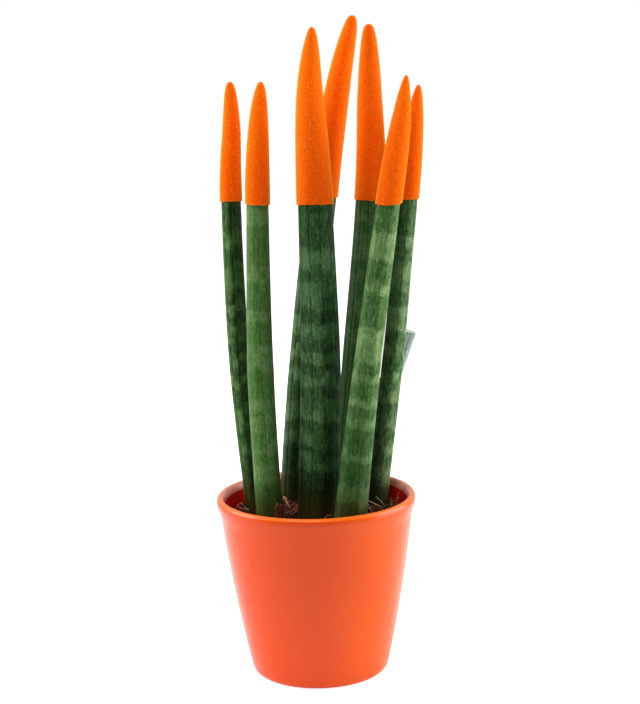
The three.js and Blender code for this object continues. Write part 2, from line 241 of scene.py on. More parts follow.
class Line:
    """A middle line cut fine, with its radius, measured in millimetres along it from the soil."""

    SAMPLES = 6001
    SURFACE_STOP = 1  # the waypoint at the soil's surface

    def __init__(self, points, radius_at):
        stops = np.linspace(0, len(points) - 1, self.SAMPLES)
        self.centres = spline(points, stops)
        steps = np.linalg.norm(np.diff(self.centres, axis=0), axis=1)
        length = np.concatenate([[0], np.cumsum(steps)])
        self.length = length - np.interp(self.SURFACE_STOP, stops, length)
        self.radii = radius_at(self.centres[:, 2])
        self.start, self.end = self.length[0], self.length[-1]

    def at_height(self, height):
        return float(np.interp(height, self.centres[:, 2], self.length))

    def centre(self, length):
        return np.stack([np.interp(length, self.length, self.centres[:, k]) for k in range(3)], 1)

    def radius(self, length):
        return np.interp(length, self.length, self.radii)

    def frame(self, length):
        """Across (about +X), forward (about +Y) and the direction at each length."""
        half = 0.5
        low, high = np.maximum(length - half, self.start), np.minimum(length + half, self.end)
        direction = self.centre(high) - self.centre(low)
        direction /= np.linalg.norm(direction, axis=1)[:, None]
        across = np.array([1.0, 0, 0]) - direction[:, :1] * direction
        across /= np.linalg.norm(across, axis=1)[:, None]
        return across, np.cross(direction, across), direction

    def tip(self):
        """The end of the line, and its direction there."""
        end = np.array([self.end])
        return self.centre(end)[0], self.frame(end)[2][0]

    def outline(self, start, end, samples):
        """Places from start to end, and how far each has come along the outline."""
        places = np.linspace(start, end, samples)
        steps = np.hypot(np.diff(places), np.diff(self.radius(places)))
        return places, np.concatenate([[0], np.cumsum(steps)])


def leaf_line(leaf):
    apex = np.array(leaf["apex"], float)
    shoulder_height = CUFF_HEIGHT + SHOULDER_SHARE * (apex[2] - CUFF_HEIGHT)
    heights = {"root": SOIL_LEVEL, "waist": WAIST_HEIGHT, "cuff": CUFF_HEIGHT,
               "shoulder": shoulder_height}
    root, waist, cuff, shoulder = (np.array([*leaf[key], z], float) for key, z in heights.items())
    buried = root - (waist - root) * BURIED_LENGTH / (WAIST_HEIGHT - SOIL_LEVEL)
    root_radius, waist_radius, cuff_radius = leaf["radii"]
    sharpness, bluntness = leaf["taper"]

    def radius_at(height):
        heights = (SOIL_LEVEL - BURIED_LENGTH, SOIL_LEVEL, WAIST_HEIGHT, CUFF_HEIGHT)
        radii = (root_radius * BURIED_TAPER, root_radius, waist_radius, cuff_radius)
        rise = np.clip((height - CUFF_HEIGHT) / (apex[2] - CUFF_HEIGHT), 0, 1)
        return np.interp(height, heights, radii) * (1 - rise ** sharpness) ** bluntness

    return Line([buried, root, waist, cuff, shoulder, apex], radius_at)


def stub_line():
    root = np.array([*STUB["root"], SOIL_LEVEL], float)
    top = np.array(STUB["top"], float)
    direction = (top - root) / np.linalg.norm(top - root)

    def radius_at(height):
        return np.interp(height, (SOIL_LEVEL, top[2]), (STUB["root_radius"], STUB["top_radius"]))

    return Line([root - direction * BURIED_LENGTH, root, top], radius_at)


# ---- materials

def srgb(red, green, blue):
    """A linear colour from the usual 0 to 255."""
    parts = [c / 255 for c in (red, green, blue)]
    return (*[c / 12.92 if c <= 0.04045 else ((c + 0.055) / 1.055) ** 2.4 for c in parts], 1.0)


SHADE_RED, SHADE_BLUE = 1.3, 1.25  # a darker green is a purer one


class Graph:
    """The nodes of one material or world. Each call adds a node and gives its output."""

    def __init__(self, name, kind="materials"):
        self.block = getattr(bpy.data, kind).new(name)
        self.block.use_nodes = True
        self.tree = self.block.node_tree
        self.tree.nodes.clear()

    def new(self, kind):
        return self.tree.nodes.new("ShaderNode" + kind)

    def feed(self, socket, value):
        if isinstance(value, bpy.types.NodeSocket):
            self.tree.links.new(value, socket)
        else:
            socket.default_value = value

    def add(self, kind, sockets=None, output=0, **settings):
        node = self.new(kind)
        for name, value in settings.items():
            setattr(node, name, value)
        for name, value in (sockets or {}).items():
            self.feed(node.inputs[name], value)
        return node.outputs[output]

    def attribute(self, name, output="Vector"):
        return self.add("Attribute", output=output, attribute_name=name)

    def object_place(self):
        """The place on the piece, in millimetres."""
        return self.stretched(self.add("TexCoord", output="Object"), (1 / MM,) * 3)

    def math(self, operation, *values):
        return self.add("Math", dict(enumerate(values)), operation=operation)

    def times(self, first, second):
        return self.math("MULTIPLY", first, second)

    def minus(self, first, second):
        return self.math("SUBTRACT", first, second)

    def scaled(self, value, factor, offset):
        """The value times a factor, plus an offset."""
        return self.math("MULTIPLY_ADD", value, factor, offset)

    def apart(self, first, second):
        return self.math("ABSOLUTE", self.minus(first, second))

    def parts(self, vector):
        split = self.new("SeparateXYZ")
        self.feed(split.inputs[0], vector)
        return tuple(split.outputs)

    def vector(self, x, y, z):
        return self.add("CombineXYZ", {0: x, 1: y, 2: z})

    def stretched(self, vector, scales):
        return self.add("VectorMath", {0: vector, 1: scales}, operation="MULTIPLY")

    def noise(self, vector, scale=1.0, detail=2.0, roughness=0.5):
        sockets = {"Vector": vector, "Scale": scale, "Detail": detail, "Roughness": roughness}
        return self.add("TexNoise", sockets)

    def ramp(self, value, low, high, to_low=0.0, to_high=1.0, shape="SMOOTHSTEP"):
        sockets = {"Value": value, "From Min": low, "From Max": high, "To Min": to_low,
                   "To Max": to_high}
        return self.add("MapRange", sockets, interpolation_type=shape)

    def stripes(self, value, edges, span, soft):
        """1 from the first edge to the second, from the third to the fourth and so on, else 0."""
        node = self.new("ValToRGB")
        self.feed(node.inputs[0], self.math("DIVIDE", value, span))
        stops = node.color_ramp
        stops.interpolation = "EASE"
        stops.elements.remove(stops.elements[1])
        for number, edge in enumerate(edges):
            tones = (0, 1) if number % 2 == 0 else (1, 0)
            for side, tone in zip((-soft, soft), tones):
                first = number == 0 and side < 0
                stop = stops.elements[0] if first else stops.elements.new(1)
                stop.position = (edge + side) / span
                stop.color = (tone, tone, tone, 1)
        return node.outputs[0]

    def mix(self, factor, first, second, mode="MIX"):
        sockets = {0: factor, 6: first, 7: second}
        return self.add("Mix", sockets, output=2, data_type="RGBA", blend_type=mode)

    def tinted(self, colour, tint):
        return self.mix(1.0, colour, tint, mode="MULTIPLY")

    def brighten(self, colour, factor):
        """The colour times a grey of that strength."""
        return self.tinted(colour, self.vector(factor, factor, factor))

    def shade(self, colour, factor):
        """A green made darker or lighter."""
        red = self.math("POWER", factor, SHADE_RED)
        blue = self.math("POWER", factor, SHADE_BLUE)
        return self.tinted(colour, self.vector(red, factor, blue))

    def bump(self, height, depth):
        """Depth is in millimetres."""
        sockets = {"Height": height, "Distance": depth * MM, "Strength": 1.0}
        return self.add("Bump", sockets)

    def close(self, surface, kind="OutputMaterial"):
        output = self.new(kind)
        self.feed(output.inputs["Surface"], surface)
        return self.block

    def finish(self, colour, normal, **others):
        """The material of a principled shader. The others go to its sockets of the same names."""
        sockets = {"Base Color": colour, "Normal": normal}
        for name, value in others.items():
            sockets[name.replace("_", " ").title().replace("Ior", "IOR")] = value
        return self.close(self.add("BsdfPrincipled", sockets))


# How each leaf is coloured. Dark and light are its greens. Pale holds the heights above the soil at
# which its pale cross-bands begin and end, and faintest is how strong a band is where it is weakest.
# Veins are how many thin dark lines run along it and how strong they are. Furrow is how much painted
# shade darkens its furrows, and crease how sharp. Flank is a side of another tone, partly the leaf's
# own and partly painted light and shade: the direction that it faces, its half width and how soft its
# border is, in degrees, its brightness, and the height where it ends. Foot is how high painted shade
# darkens the leaf towards the soil, and how bright it still is there. Gloss is how much its skin
# shines.
LEAF_LOOKS = {
    "leaf_1": dict(
        dark=srgb(6, 39, 4), light=srgb(73, 101, 53),
        pale=(36, 48, 58, 75, 88, 96, 104, 110, 118, 134, 140, 148, 156, 176, 187, 197),
        veins=(22, 0.26), furrow=0.5, flank_light_and_tone=(-50, 53, 9, 0.46, 230), foot_shade=(30, 0.7),
    ),
    "leaf_2": dict(
        dark=srgb(41, 74, 25), light=srgb(72, 99, 54),
        pale=(28, 42, 50, 58, 64, 76, 80, 86, 108, 124, 140, 148, 168, 178, 206, 217),
        veins=(18, 0.14), furrow=0.35, flank_light_and_tone=(180, 62, 22, 1.17, 230), foot_shade=(52, 0.7), crease=0.3,
    ),
    "leaf_3": dict(
        dark=srgb(17, 43, 16), light=srgb(63, 90, 55),
        pale=(36, 48, 54, 64, 72, 88, 94, 104, 112, 120, 126, 140, 150, 168, 176, 192),
        veins=(34, 0.34), furrow=0.5, flank_light_and_tone=(-38, 40, 10, 0.42, 165), foot_shade=(80, 0.36), gloss=0.03,
    ),
    "leaf_4": dict(
        dark=srgb(7, 36, 7), light=srgb(62, 92, 52),
        pale=(20, 32, 44, 52, 60, 76, 88, 98, 106, 118, 124, 138, 150, 160), veins=(24, 0.2),
        furrow=0.45, flank_light_and_tone=(180, 58, 14, 1.6, 230), foot_shade=(90, 0.5),
    ),
    "leaf_5": dict(
        dark=srgb(29, 56, 23), light=srgb(56, 81, 45),
        pale=(120, 132, 142, 154, 164, 172, 180, 198, 206, 212), veins=(34, 0.32), furrow=0.3,
        flank_light_and_tone=(0, 70, 20, 0.8, 230), foot_shade=(60, 0.7),
    ),
    "leaf_6": dict(
        dark=srgb(32, 72, 20), light=srgb(108, 135, 84),
        pale=(18, 30, 47, 53, 70, 77, 84, 89, 101, 107, 115, 137, 162, 168, 185, 203),
        veins=(20, 0.14), furrow=0.14, flank_light_and_tone=(-104, 32, 12, 0.66, 230), foot_shade=(150, 0.4), crease=0.1,
        faintest=0.45,
    ),
    "leaf_7": dict(
        dark=srgb(8, 40, 8), light=srgb(66, 92, 53),
        pale=(16, 30, 38, 48, 58, 68, 76, 99, 112, 120, 128, 147, 156, 180, 184, 197),
        veins=(22, 0.2), furrow=0.4, flank_light_and_tone=(-43, 45, 5, 2.0, 230), foot_shade=(40, 0.75),
    ),
    "leaf_8": dict(
        dark=srgb(26, 58, 20), light=srgb(74, 102, 58),
        pale=(14, 24, 36, 44, 56, 66, 76, 86, 90, 97, 108, 115), veins=(16, 0.12), furrow=0.3,
        flank_light_and_tone=(-5, 60, 20, 0.86, 230), foot_shade=(30, 0.8), crease=0.3,
    ),
}
USUAL_LOOK = {"faintest": 0.1, "crease": 0.65, "gloss": 0.17}  # where a leaf has no other value
BAND_SPAN = 240
BAND_SOFT = 1.2
BAND_TEETH = 8.0
BAND_BEND = 9.0
BAND_STEP = 9.0
BAND_SHARE = 0.72
BAND_STRONGEST = 0.85
MOTTLE_SHARE = 0.55
VEIN_WIDTH = 0.2  # as a share of the distance between veins
VEIN_STRAY = 5.0
FURROW_WIDTH = 0.075  # as a share of the distance between furrows
FLANK_STRAY = 0.7
FLANK_END = 12  # half the height over which it ends
SOIL_STAIN = srgb(60, 54, 17)
STAIN_RAGGED = 36.0
STAIN_ENDS = (-14.0, 18.0)
STAIN_SHARE = 0.62
SKIN_LIFT = (1.08, 1.05, 1.14, 1)
SKIN_SHINE = srgb(170, 225, 150)
BLEACHED = (srgb(120, 140, 126), srgb(138, 156, 142))  # the dried skin under a cut
BLEACHED_ENDS = (62, 104)
PITH = srgb(176, 190, 170)
PITH_FIBRE = srgb(134, 148, 124)
# noises over a leaf: how fine each is across and along it, its detail and its roughness
LEAF_GRAINS = {
    "teeth": (1.0, 0.3, 3, 0.6),
    "bend": (0.13, 0.09, 1, 0.5),
    "mottle": (0.5, 0.2, 4, 0.66),
    "stray": (0.12, 0.02, 2, 0.5),
    "presence": (0.35, 0.05, 2, 0.5),
    "streaks": (1.5, 0.14, 3, 0.6),
    "wrinkles": (0.1, 0.9, 2, 0.6),
}


def number_of(leaf):
    return int(leaf["name"][-1])


def look_of(leaf):
    return USUAL_LOOK | LEAF_LOOKS[leaf["name"]]


def leaf_material(leaf):
    look = look_of(leaf)
    seed = number_of(leaf) * 31.7
    g = Graph(leaf["name"] + "_skin")
    place = g.attribute("straight")
    x, y, along = g.parts(place)
    angle = g.math("ARCTAN2", y, x)
    rib = g.times(angle, leaf["furrows"] / TURN)
    index = g.math("FLOOR", rib)
    from_furrow = g.minus(0.5, g.apart(g.math("FRACT", rib), 0.5))
    seeded = g.add("VectorMath", {0: place, 1: (seed, 0, 0)}, operation="ADD")
    grain = {}
    for name, (fine_across, fine_along, detail, roughness) in LEAF_GRAINS.items():
        vector = g.stretched(seeded, (fine_across, fine_across, fine_along))
        grain[name] = g.noise(vector, detail=detail, roughness=roughness)

    # pale cross-bands: bent, a little higher or lower on each rib, with toothed ends and gaps
    step = g.noise(g.vector(seed, g.times(index, 3.7), 0.0), detail=0)
    level = along
    for noise, reach in ((grain["teeth"], BAND_TEETH), (grain["bend"], BAND_BEND), (step, BAND_STEP)):
        level = g.scaled(g.minus(noise, 0.5), reach, level)
    bands = g.stripes(level, look["pale"], BAND_SPAN, BAND_SOFT)
    uneven = g.noise(g.vector(seed + 9, g.times(index, 2.1), g.times(along, 0.09)), detail=2)
    bands = g.times(bands, g.ramp(uneven, 0.32, 0.6, look["faintest"], BAND_STRONGEST))
    patchy = g.scaled(bands, BAND_SHARE, g.ramp(grain["mottle"], 0.28, 0.72, 0.0, MOTTLE_SHARE))
    colour = g.mix(patchy, look["dark"], look["light"])
    if leaf is STUB:
        dried = g.ramp(level, *BLEACHED_ENDS)
        colour = g.mix(dried, colour, g.mix(patchy, *BLEACHED))

    # thin dark veins that come and go, and painted shade in the furrows
    count, strength = look["veins"]
    strayed = g.scaled(grain["stray"], VEIN_STRAY, g.times(angle, count / TURN))
    from_vein = g.apart(g.math("FRACT", strayed), 0.5)
    present = grain["presence"]
    vein = g.times(g.ramp(from_vein, 0.0, VEIN_WIDTH, 1.0, 0.0), g.ramp(present, 0.4, 0.62))
    dark = g.ramp(from_furrow, 0.0, FURROW_WIDTH, 1.0, 0.0)
    furrow = g.times(dark, g.ramp(present, 0.36, 0.6, 0.25, 1.0))
    pores = g.noise(seeded, scale=0.95, detail=2, roughness=0.6)

    # one side of another tone, partly its own and partly painted light and shade, and painted shade
    # that darkens the foot
    facing, half_width, soft, brightness, top = look["flank_light_and_tone"]
    stray = g.times(g.minus(grain["bend"], 0.5), FLANK_STRAY)
    turned = g.math("ADD", stray, g.minus(angle, math.radians(facing - leaf["turn"])))
    outer = math.cos(math.radians(half_width + soft))
    inner = math.cos(math.radians(half_width - soft))
    below = g.ramp(level, top - FLANK_END, top + FLANK_END, 1.0, 0.0)
    flank_light_and_tone = g.times(g.ramp(g.math("COSINE", turned), outer, inner), below)
    # painted shade darkens the leaf towards the soil
    foot_shade_height, foot_shade_tone = look["foot_shade"]
    shades = [
        g.scaled(vein, -strength, 1.0),
        g.ramp(grain["streaks"], 0.3, 0.7, 0.84, 1.16),
        g.ramp(grain["wrinkles"], 0.34, 0.66, 0.93, 1.07),
        g.ramp(pores, 0.42, 0.72, 0.92, 1.4),
        g.scaled(furrow, -look["furrow"], 1.0),
        g.scaled(flank_light_and_tone, brightness - 1, 1.0),
        g.ramp(along, 0.0, foot_shade_height, foot_shade_tone, 1.0),
    ]
    for tone in shades:
        colour = g.shade(colour, tone)

    # stained by the soil near its foot
    reach = g.scaled(grain["teeth"], STAIN_RAGGED, g.times(along, -1.0))
    stain = g.times(g.ramp(reach, *STAIN_ENDS), STAIN_SHARE)
    colour = g.mix(stain, colour, SOIL_STAIN)
    if leaf is STUB:
        dots = g.noise(place, scale=0.9, detail=1)
        pith = g.mix(g.ramp(dots, 0.52, 0.66), PITH, PITH_FIBRE)
        colour = g.mix(g.attribute("cut", "Fac"), colour, pith)

    colour = g.tinted(colour, SKIN_LIFT)
    roughness = g.ramp(grain["streaks"], 0.2, 0.8, 0.6, 0.48)
    normal = g.bump(g.scaled(pores, 0.5, grain["streaks"]), depth=0.15)
    return g.finish(colour, normal, roughness=roughness, specular_ior_level=look["gloss"],
                    specular_tint=SKIN_SHINE)


FLOCK_DEEP = srgb(213, 65, 3)
FLOCK_BRIGHT = srgb(248, 115, 11)
FLOCK_GLINT = srgb(255, 164, 64)  # painted glints: specks of light on fibres that stand up
FLOCK_SHEEN = srgb(255, 194, 62)
FLOCK_LOW_SHADE = srgb(233, 218, 222)  # painted shade at its lower edge
FLOCK_HIGH = srgb(255, 255, 255)  # and none near the tips
FLOCK_SHADE_HEIGHTS = (325, 425)
# painted shade: how bright a coat is at its lower edge and near its tip, where that differs from the
# others
COAT_SHADES = {"leaf_3": (0.86, 0.96), "leaf_4": (0.74, 0.95), "leaf_5": (0.94, 0.85)}
COAT_SHADE_GREEN = 1.7  # a coat darkened by painted shade is a redder one


def flock_material():
    g = Graph("flock")
    place = g.object_place()
    grain = g.noise(place, scale=1.6, detail=3, roughness=0.75)
    clumps = g.noise(place, scale=0.3, detail=3, roughness=0.6)
    mixed = g.scaled(clumps, 0.1, g.times(grain, 0.9))
    colour = g.mix(g.ramp(mixed, 0.33, 0.7), FLOCK_DEEP, FLOCK_BRIGHT)
    # painted glints: sparse light specks
    glints = g.noise(place, scale=1.05, detail=1)
    colour = g.mix(g.ramp(glints, 0.66, 0.74, 0.0, 0.5), colour, FLOCK_GLINT)
    # painted shade: the coat darker towards its lower edge
    height = g.parts(place)[2]
    colour = g.tinted(colour, g.mix(g.ramp(height, *FLOCK_SHADE_HEIGHTS), FLOCK_LOW_SHADE, FLOCK_HIGH))
    # painted shade on some coats, redder where darker
    tone = g.attribute("tone", "Fac")
    colour = g.tinted(colour, g.vector(tone, g.math("POWER", tone, COAT_SHADE_GREEN), tone))
    return g.finish(colour, g.bump(grain, depth=0.2), roughness=1.0, specular_ior_level=0.0,
                    sheen_weight=1.0, sheen_roughness=0.45, sheen_tint=FLOCK_SHEEN)


GLAZE = srgb(201, 64, 1)
GLAZE_LIT_SIDE = srgb(211, 78, 3)
GLAZE_CREST_HIGHLIGHT = srgb(230, 98, 20)
GLAZE_LIP_REFLECTION = srgb(255, 154, 132)
GLAZE_INSIDE_SHADE = srgb(218, 24, 5)
BISQUE = srgb(214, 160, 126)
SHADE_LINE_HEIGHT = 123.6
CREST_HIGHLIGHT_HEIGHTS = (125.8, 127.2)
INSIDE_SHADE_HEIGHTS = (122.7, 123.5)
WIPED_HEIGHTS = (0.2, 0.45)
INSIDE_MARGIN = 1.5  # the inside colour begins so far out from the wall inside


def glaze_material():
    """Orange outside, with painted light making the right side more orange and the lower wall
    brighter, a painted highlight over the crest of the rim, a painted shade line below it, a painted
    pink reflection on the lip inside, and deeper red inside as painted shade."""
    g = Graph("glaze")
    place = g.object_place()
    x, y, height = g.parts(place)
    cloud = g.noise(place, scale=0.02, detail=0)
    speck = g.noise(place, scale=1.1, detail=2)
    # painted light: more orange towards the lit right side
    lit_side = g.scaled(g.minus(cloud, 0.5), 30.0, x)
    colour = g.mix(g.ramp(lit_side, -5, 55), GLAZE, GLAZE_LIT_SIDE)
    colour = g.brighten(colour, g.ramp(speck, 0.3, 0.7, 0.98, 1.02))
    # painted shade: a darker line under the crest of the rim
    colour = g.shade(colour, g.ramp(g.apart(height, SHADE_LINE_HEIGHT), 0.2, 1.6, 0.93, 1.0))
    # painted light: the wall brighter low down, as lit from the floor
    colour = g.brighten(colour, g.ramp(height, 10, 115, 1.06, 0.96))
    # painted highlight: paler over the crest of the rim
    colour = g.mix(g.ramp(height, *CREST_HIGHLIGHT_HEIGHTS), colour, GLAZE_CREST_HIGHLIGHT)
    from_axis = g.add("VectorMath", {0: g.vector(x, y, 0.0)}, output=1, operation="LENGTH")
    slope = (POT["neck_radius"] - POT["foot_radius"]) / POT["neck_height"]
    start = POT["foot_radius"] - POT["wall"] + INSIDE_MARGIN
    inside = g.ramp(g.minus(g.scaled(height, slope, start), from_axis), -0.6, 0.4)
    # painted reflection: pink over the lip inside
    colour = g.mix(inside, colour, GLAZE_LIP_REFLECTION)
    # painted shade: deeper red on the inside wall below the lip
    inside_shade = g.times(inside, g.ramp(height, *INSIDE_SHADE_HEIGHTS, 1.0, 0.0))
    colour = g.mix(inside_shade, colour, GLAZE_INSIDE_SHADE)
    colour = g.mix(g.ramp(g.scaled(speck, 0.3, height), *WIPED_HEIGHTS), BISQUE, colour)
    return g.finish(colour, g.bump(speck, depth=0.01), roughness=0.23, specular_ior_level=0.24)


PEAT_DARK, PEAT_BROWN = srgb(11, 5, 3), srgb(44, 22, 11)
PEAT_FLECK = srgb(92, 50, 26)
CRUMB_DARK, CRUMB_BARK = srgb(12, 6, 4), srgb(72, 32, 16)
COIR_DARK = srgb(84, 28, 14)
# from which tone to which a fibre goes over to each paler colour
COIR_PALER = (
    (0.0, 0.3, srgb(150, 84, 48)), (0.4, 0.6, srgb(216, 138, 98)), (0.7, 1.0, srgb(186, 172, 134)),
)


def soil_material():
    g = Graph("peat")
    place = g.object_place()
    lumps = g.noise(place, scale=0.5, detail=5, roughness=0.7)
    fine = g.noise(place, scale=2.4, detail=3, roughness=0.6)
    colour = g.mix(g.ramp(lumps, 0.35, 0.65), PEAT_DARK, PEAT_BROWN)
    colour = g.mix(g.ramp(fine, 0.62, 0.78, 0.0, 0.5), colour, PEAT_FLECK)
    normal = g.bump(g.scaled(fine, 0.4, lumps), depth=1.2)
    return g.finish(colour, normal, roughness=0.95, specular_ior_level=0.1)


def crumb_material():
    g = Graph("crumbs")
    grain = g.noise(g.object_place(), scale=1.2, detail=4, roughness=0.65)
    colour = g.mix(g.ramp(g.attribute("tone", "Fac"), 0.1, 1.0), CRUMB_DARK, CRUMB_BARK)
    colour = g.brighten(colour, g.ramp(grain, 0.3, 0.7, 0.55, 1.35))
    return g.finish(colour, g.bump(grain, depth=0.6), roughness=0.9, specular_ior_level=0.12)


def coir_material():
    g = Graph("coir")
    tone = g.attribute("tone", "Fac")
    grain = g.noise(g.object_place(), scale=0.9, detail=3)
    colour = COIR_DARK
    for low, high, paler in COIR_PALER:
        colour = g.mix(g.ramp(tone, low, high), colour, paler)
    colour = g.brighten(colour, g.ramp(grain, 0.3, 0.7, 0.65, 1.2))
    return g.finish(colour, g.bump(grain, depth=0.2), roughness=0.6, specular_ior_level=0.4)


# ---- leaves

CREASE_WIDTH = 0.42
FURROW_REACH = 0.34  # of the distance between furrows
FURROW_DEPTHS = (0.75, 1.2)  # least and most, as shares of the leaf's own depth
FURROW_RADII = (1.0, 6.0)  # radii of the leaf between which its furrows reach their depth
# how a furrow strays, in furrow distances: by how much at most at its start, by how much it then
# swings, and the lengths of its two waves
FURROW_STRAY, FURROW_SWING, FURROW_WAVES = 0.06, (0.01, 0.03), (46, 17)
SHOWN_FROM = -5  # so far under the soil the rings begin to lie close together
SHOWN_PAST_CUFF = 6
TIP_GAP = 0.4  # between the last ring and the tip
TIP_SAMPLES = 400
SWELL = 0.014
SWELL_TURNS = 1.4
SWELL_LENGTH = 21
# a wide shallow channel down the front of a leaf: angle in degrees, half width, depth
CHANNELS = {"leaf_6": (-80, 48, 1.3), "leaf_2": (-88, 30, 0.35)}
CHANNEL_FALL = 1.6  # how steep its sides are


def skin_lengths(line, bare_end, end):
    """Places along a leaf: close together where it shows, further apart in the soil and above
    bare_end."""
    hidden = np.arange(line.start, SHOWN_FROM - 1, HIDDEN_STEP)
    shown = np.linspace(SHOWN_FROM, bare_end, int((bare_end - SHOWN_FROM) / SKIN_STEP))
    if end - bare_end < SKIN_STEP:
        return np.concatenate([hidden, shown])
    # evenly along the outline of the tip, so that it stays round
    places, travelled = line.outline(bare_end, end, TIP_SAMPLES)
    count = int(travelled[-1] / HIDDEN_STEP)
    tip = np.interp(np.linspace(0, travelled[-1], count + 2)[1:-1], travelled, places)
    return np.concatenate([hidden, shown, tip])


def furrow_offsets(leaf, lengths, random):
    """How far each furrow strays sideways at each length, in furrow distances."""
    count = leaf["furrows"]
    fixed = random.uniform(-FURROW_STRAY, FURROW_STRAY, count)
    phase = random.uniform(0, TURN, (2, count))
    swing = random.uniform(*FURROW_SWING, count)
    slow, quick = (np.sin(lengths[:, None] / w + p) for w, p in zip(FURROW_WAVES, phase))
    return fixed + swing * (slow + 0.5 * quick)


def leaf_rings(leaf, line, lengths, random):
    """Points of the furrowed skin, and the same points with the leaf unbent. Both are
    (lengths, columns, 3)."""
    count = leaf["furrows"]
    offsets = furrow_offsets(leaf, lengths, random)
    furrow = np.repeat(np.arange(count), len(RIB_PLACES))
    share = np.tile(RIB_PLACES, count)
    strayed = (1 - share) * offsets[:, furrow] + share * offsets[:, (furrow + 1) % count]
    nominal = (furrow + share) / count * TURN
    angle = math.radians(leaf["turn"]) + nominal + strayed / count * TURN

    radius = line.radius(lengths)[:, None]
    pitch = TURN * radius / count
    nearest = np.minimum(share, 1 - share) * pitch
    depth_of = leaf["depth"] * random.uniform(*FURROW_DEPTHS, count)
    which = np.where(share < 0.5, furrow, (furrow + 1) % count)
    depth = depth_of[which] * smoothstep(radius, *FURROW_RADII)
    crease = np.exp(-((nearest / CREASE_WIDTH) ** 2))
    hollow = 1 - smoothstep(nearest / pitch, 0, FURROW_REACH)
    sharp = look_of(leaf)["crease"]
    cut = depth * (sharp * crease + (1 - sharp) * hollow)

    along = np.broadcast_to(lengths[:, None, None], (*angle.shape, 1))
    places = np.concatenate([circle(angle) * SWELL_TURNS, along / SWELL_LENGTH], axis=2)
    swell = lattice_noise(places.reshape(-1, 3), seed=number_of(leaf)).reshape(angle.shape)
    reach = radius * (1 + SWELL * swell) - cut

    if leaf["name"] in CHANNELS:
        middle, half_width, channel_depth = CHANNELS[leaf["name"]]
        aside = np.degrees(np.angle(np.exp(1j * (angle - math.radians(middle)))))
        reach = reach - channel_depth * np.exp(-((aside / half_width) ** 2) * CHANNEL_FALL)

    across, forward, _ = line.frame(lengths)
    points = line.centre(lengths)[:, None] + spokes(angle, across, forward) * reach[..., None]
    straight = np.concatenate([radius[..., None] * circle(nominal), along], axis=2)
    return points, straight


def build_leaf(leaf):
    number = number_of(leaf)
    random = np.random.default_rng(SKIN_SEED + number)
    line = leaf_line(leaf)
    bare_end = line.at_height(CUFF_HEIGHT + SHOWN_PAST_CUFF)
    lengths = skin_lengths(line, bare_end, line.end - TIP_GAP)
    rings, straight = leaf_rings(leaf, line, lengths, random)
    points, faces = lofted(rings, *line.centre(np.array([line.start, line.end])))
    straight, _ = lofted(straight, (0, 0, line.start), (0, 0, line.end))
    mesh = make_mesh(leaf["name"] + "_skin", points, faces, {"straight": straight})
    add_piece(f"leaf_skin_{number}", mesh, leaf_material(leaf), leaf["name"])


# rings of the cut face: their share of the leaf's radius, and how far they are sunk
CUT_FACE = ((0.985, -0.25), (0.94, -0.1), (0.88, 0.35), (0.7, 0.5), (0.45, 0.6), (0.2, 0.5))
CUT_MIDDLE = 0.5


def build_stub():
    """The leaf that was cut square. Its face is a little sunk inside a low edge."""
    random = np.random.default_rng(SKIN_SEED + number_of(STUB))
    line = stub_line()
    lengths = skin_lengths(line, line.end, line.end)
    rings, straight = leaf_rings(STUB, line, lengths, random)
    middle, direction = line.tip()
    face = [middle + (rings[-1] - middle) * share - direction * sink for share, sink in CUT_FACE]
    flat = [straight[-1] * [share, share, 1] for share, _ in CUT_FACE]
    start = line.centre(np.array([line.start]))
    points, faces = lofted([*rings, *face], start, middle - direction * CUT_MIDDLE)
    straight, _ = lofted([*straight, *flat], (0, 0, line.start), (0, 0, line.end))
    cut = np.zeros(len(points))
    cut[(len(lengths) + 1) * rings.shape[1]:] = 1
    cut[-2] = 0
    mesh = make_mesh("cut_leaf", points, faces, {"straight": straight, "cut": cut})
    add_piece("cut_leaf", mesh, leaf_material(STUB), STUB["name"])


# ---- velvet

EDGE_ROUND = ((-0.1, 0.27), (0.05, 0.12), (0.35, 0.024))  # height above the edge, and how far in
EDGE_REACH = 14  # how far above the edge the rings still follow its slope
EDGE_WAVER, EDGE_RAGGED = 0.25, 0.12
FLOCK_GRAIN = 0.12
FLOCK_LUMPS = 0.05
LUMP_SIZE = 2.6
PILE_RADII = (0.5, 3.0)  # radii of the leaf between which the pile reaches its full height
PILE_LEAST = 0.4  # its height at the very tip, as a share of that
COAT_SAMPLES = 4000
WAVER_TURNS = 3
SHADE_END = 20  # how far below the tip its last painted shade tone begins
